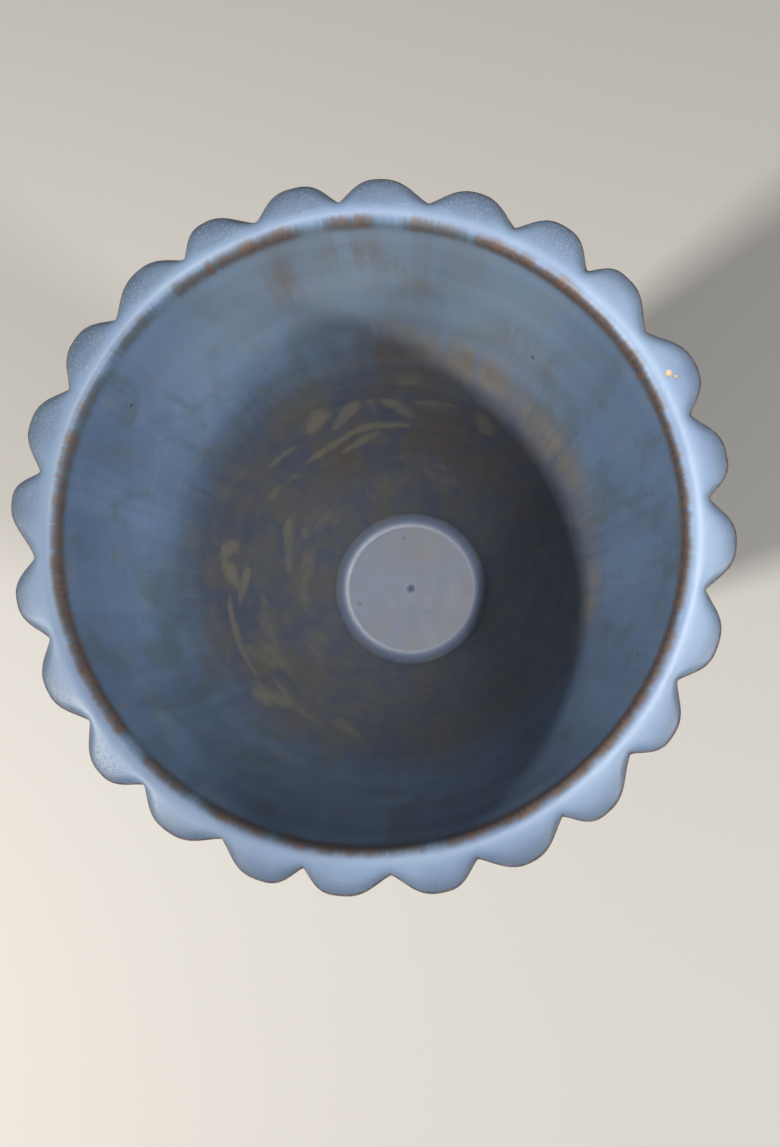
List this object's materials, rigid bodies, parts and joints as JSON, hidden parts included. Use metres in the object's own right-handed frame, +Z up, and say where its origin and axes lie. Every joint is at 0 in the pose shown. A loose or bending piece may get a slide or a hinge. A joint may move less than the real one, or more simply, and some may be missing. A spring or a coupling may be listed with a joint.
{
  "type": "scalloped rim pot",
  "caption": "Tall tapered glazed ceramic pot with a scalloped, out-turned rim, for flowers, branches or a plant, standing on a turned foot ring.",
  "frame": {"origin": "centre of the foot ring's underside, on the surface that the pot stands on", "axes": "+Z up along the pot's axis; +X through the tip of one scallop"},
  "size_m": [0.22, 0.22, 0.371],
  "materials": {
    "bare_clay": "unglazed fired stoneware, matt and slightly gritty",
    "clay_body": "fired stoneware under the glaze",
    "floor_glaze": "grey-blue glaze, glossier where it lies level",
    "inside_glaze": "satin denim-blue glaze with brown and olive thin places",
    "rim_glaze": "satin powder-blue glaze with pale speckle, brown at the edges",
    "outside_glaze": "satin blue glaze that stops in a soft line above the foot"
  },
  "bodies": {
    "root": {"foot_ring": "bare_clay", "base_slab": "bare_clay", "wall": "clay_body", "scalloped_rim": "clay_body", "floor_glaze": "floor_glaze", "inside_glaze": "inside_glaze", "rim_glaze": "rim_glaze", "outside_glaze": "outside_glaze"}
  },
  "joints": []
}
